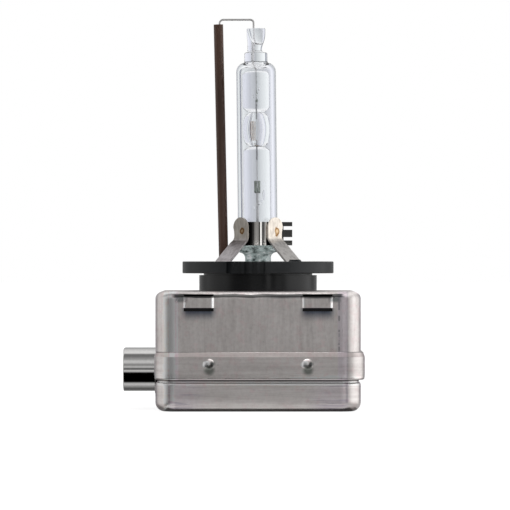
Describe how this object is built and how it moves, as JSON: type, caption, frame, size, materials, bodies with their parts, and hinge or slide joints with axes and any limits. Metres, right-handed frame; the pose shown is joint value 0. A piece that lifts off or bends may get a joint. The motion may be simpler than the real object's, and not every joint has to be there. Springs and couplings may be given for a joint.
{
  "type": "gas-discharge headlight bulb",
  "caption": "Slim quartz discharge burner on a round black cap flange, over a square metal igniter box with an oblong side connector.",
  "frame": {"origin": "on the lamp axis, in the front face of the cap flange (the plane that the light centre is measured from)", "axes": "+Z along the lamp axis towards the glass tip; the connector points to -X; -Y is the front of the box"},
  "size_m": [0.0505, 0.0448, 0.0825],
  "materials": {
    "cap_plastic": "moulded bluish-black, satin",
    "housing_plastic": "moulded black, matt",
    "insert_plastic": "moulded black, matt",
    "shield_metal": "satin tinned sheet, fine mottle",
    "connector_chrome": "polished, bright",
    "contact_metal": "tin and gold flashed",
    "polished_steel": "polished",
    "leg_steel": "satin rolled strip, heat-tinted welds",
    "quartz": "clear fused quartz",
    "tungsten": "dark drawn rod",
    "molybdenum": "matt grey",
    "halide_salt": "pinkish beige deposit",
    "return_wire_metal": "drawn wire",
    "brown_ceramic": "dark brown glazed ceramic",
    "white_ceramic": "white glazed ceramic",
    "ferrite": "dark sintered, matt",
    "enamelled_copper": "enamelled copper wire",
    "copper_strip": "bare copper strip",
    "capacitor_case": "dipped resin, glossy",
    "resistor_body": "lacquered",
    "potting": "cast resin"
  },
  "bodies": {
    "root": {"cap_flange": "cap_plastic", "igniter_housing": "housing_plastic", "housing_lid": "housing_plastic", "shield_can": "shield_metal", "shield_cover": "shield_metal", "connector_shell": "connector_chrome", "connector_insert": "insert_plastic", "contact_pin_1": "contact_metal", "contact_pin_2": "contact_metal", "contact_pin_3": "contact_metal", "clamp_ring": "polished_steel", "support_leg_front_left": "leg_steel", "support_leg_front_right": "leg_steel", "support_leg_rear_left": "leg_steel", "support_leg_rear_right": "leg_steel", "outer_bulb": "quartz", "arc_tube": "quartz", "upper_electrode": "tungsten", "lower_electrode": "tungsten", "upper_foil": "molybdenum", "lower_foil": "molybdenum", "upper_lead": "molybdenum", "lower_lead": "molybdenum", "halide_fill": "halide_salt", "return_wire": "return_wire_metal", "return_tube": "brown_ceramic", "return_terminal": "contact_metal", "hv_contact": "contact_metal", "transformer_core": "ferrite", "coil_bobbin": "housing_plastic", "secondary_winding": "enamelled_copper", "primary_winding": "copper_strip", "spark_gap_body": "white_ceramic", "spark_gap_caps": "contact_metal", "ignition_capacitor": "capacitor_case", "bleed_resistor": "resistor_body", "circuit_carrier": "housing_plastic", "busbars": "copper_strip", "potting_compound": "potting"}
  },
  "joints": []
}
